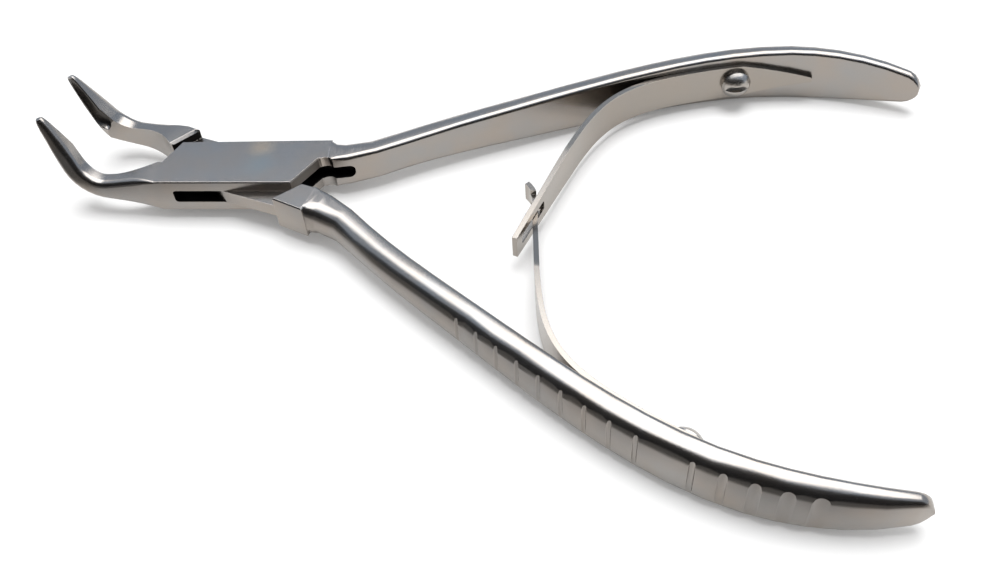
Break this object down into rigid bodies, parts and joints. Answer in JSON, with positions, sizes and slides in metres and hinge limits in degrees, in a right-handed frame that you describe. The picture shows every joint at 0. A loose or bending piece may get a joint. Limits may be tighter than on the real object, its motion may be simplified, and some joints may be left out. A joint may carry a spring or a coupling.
{
  "type": "bone rongeur",
  "caption": "Bone rongeur: box-lock levers with upturned cupped jaws, bowed fluted handles and interlocked leaf springs that hold them open.",
  "frame": {"origin": "on the pivot axis, in the flat underside of the box lock", "axes": "+X along the instrument from the jaws towards the handles, +Z along the pivot axis towards the side that the jaws bend to, +Y towards the box lever's handle"},
  "size_m": [0.1345, 0.0862, 0.0173],
  "materials": {
    "satin_steel": "satin stainless steel",
    "spring_steel": "satin spring steel",
    "screw_steel": "polished steel, darker"
  },
  "bodies": {
    "box_half": {"box_lever": "satin_steel", "pivot_pin": "satin_steel", "slotted_spring": "spring_steel", "slotted_spring_screw": "screw_steel"},
    "inner_half": {"inner_lever": "satin_steel", "tongue_spring": "spring_steel", "tongue_spring_screw": "screw_steel"}
  },
  "joints": [
    {"name": "box_lock_pivot", "type": "hinge", "parent": "box_half", "child": "inner_half", "pos_m": [0, 0, 0.00305], "axis": [0, 0, 1], "range_deg": [0, 18.7], "stiffness_Nm_per_rad": 1, "springref_deg": -4.58, "deforming": ["slotted_spring", "tongue_spring"]}
  ]
}
